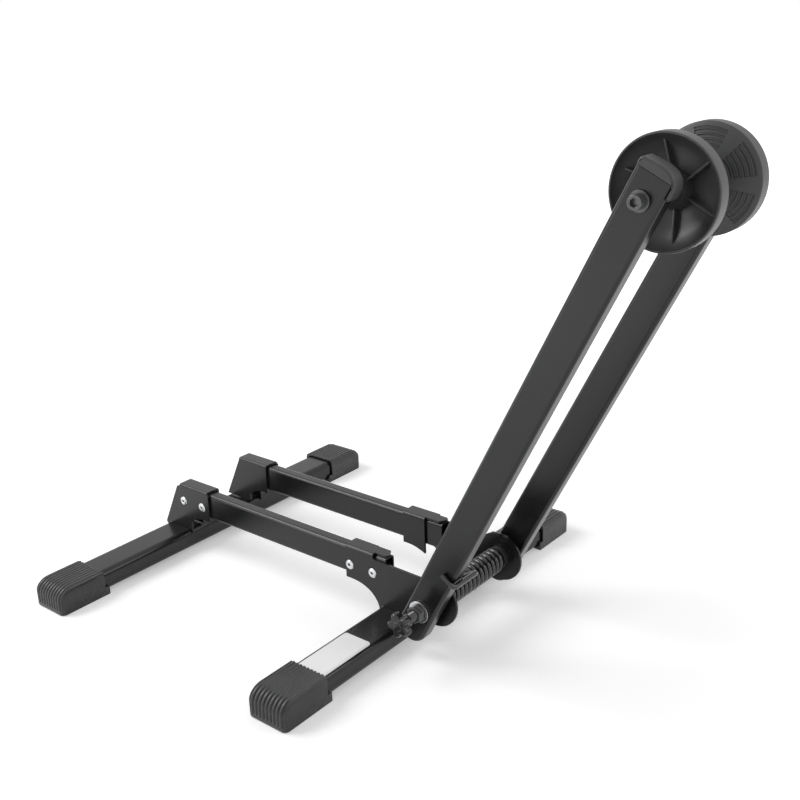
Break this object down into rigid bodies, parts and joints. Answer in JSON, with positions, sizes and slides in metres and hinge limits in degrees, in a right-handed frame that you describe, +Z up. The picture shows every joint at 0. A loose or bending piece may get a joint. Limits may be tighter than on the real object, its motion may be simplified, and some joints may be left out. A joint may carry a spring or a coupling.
{
  "type": "floor bike rack",
  "caption": "Low floor stand for one bicycle: two cross legs on ribbed feet, twin rails and a sprung pair of leaning arms that hold the tyre between dished rollers.",
  "frame": {"origin": "on the floor, at the middle of the rack's footprint", "axes": "+X along the rails towards the arms, +Y across the rack from the knob side to the far side, +Z up"},
  "size_m": [0.5572, 0.4088, 0.4306],
  "materials": {
    "powder_black": "satin black powder coat",
    "cap_plastic": "moulded dark grey plastic",
    "roller_plastic": "moulded dark grey plastic",
    "plug_plastic": "moulded black plastic",
    "knob_plastic": "moulded black plastic",
    "bush_plastic": "moulded black plastic",
    "spring_steel": "black coated spring wire",
    "black_steel": "black oxide steel",
    "zinc_steel": "bright zinc plate",
    "chrome": "bright chrome plate"
  },
  "bodies": {
    "base": {"near_arm_bush": "bush_plastic", "near_spring_bush": "bush_plastic", "far_arm_bush": "bush_plastic", "far_spring_bush": "bush_plastic", "pivot_sleeve": "black_steel", "rear_leg": "powder_black", "rear_foot_cap_near": "cap_plastic", "rear_bracket_near": "powder_black", "rear_rivet_near_1": "zinc_steel", "rear_rivet_near_2": "zinc_steel", "rear_foot_cap_far": "cap_plastic", "rear_bracket_far": "powder_black", "rear_rivet_far_1": "zinc_steel", "rear_rivet_far_2": "zinc_steel", "front_leg": "powder_black", "front_foot_cap_near": "cap_plastic", "front_bracket_near": "powder_black", "front_rivet_near_1": "zinc_steel", "front_rivet_near_2": "zinc_steel", "front_foot_cap_far": "cap_plastic", "front_bracket_far": "powder_black", "front_rivet_far_1": "zinc_steel", "front_rivet_far_2": "zinc_steel", "near_rail": "powder_black", "far_rail": "powder_black", "torsion_spring": "spring_steel"},
    "arm_pair": {"near_arm": "powder_black", "near_arm_plug": "plug_plastic", "near_roller_screw": "black_steel", "near_roller_washer": "black_steel", "near_roller_nut": "zinc_steel", "near_pivot_washer": "chrome", "far_arm": "powder_black", "far_arm_plug": "plug_plastic", "far_roller_screw": "black_steel", "far_roller_washer": "black_steel", "far_roller_nut": "zinc_steel", "far_pivot_washer": "zinc_steel", "pivot_bolt": "zinc_steel", "hex_spacer": "black_steel"},
    "clamp_knob": {"star_knob": "knob_plastic"},
    "near_roller_wheel": {"near_roller": "roller_plastic"},
    "far_roller_wheel": {"far_roller": "roller_plastic"}
  },
  "joints": [
    {"name": "arm_swing", "type": "hinge", "parent": "base", "child": "arm_pair", "pos_m": [0.06271, 0, 0.0466], "axis": [0, 1, 0], "range_deg": [-117, 25], "stiffness_Nm_per_rad": 5.6, "springref_deg": -8.66, "deforming": ["torsion_spring"]},
    {"name": "knob_turn", "type": "hinge", "parent": "arm_pair", "child": "clamp_knob", "pos_m": [0.06271, -0.0925, 0.0466], "axis": [0, 1, 0], "continuous": true},
    {"name": "near_roller_spin", "type": "hinge", "parent": "arm_pair", "child": "near_roller_wheel", "pos_m": [0.24047, -0.032, 0.39249], "axis": [0, 1, 0], "continuous": true},
    {"name": "far_roller_spin", "type": "hinge", "parent": "arm_pair", "child": "far_roller_wheel", "pos_m": [0.24047, 0.032, 0.39249], "axis": [0, 1, 0], "continuous": true}
  ]
}
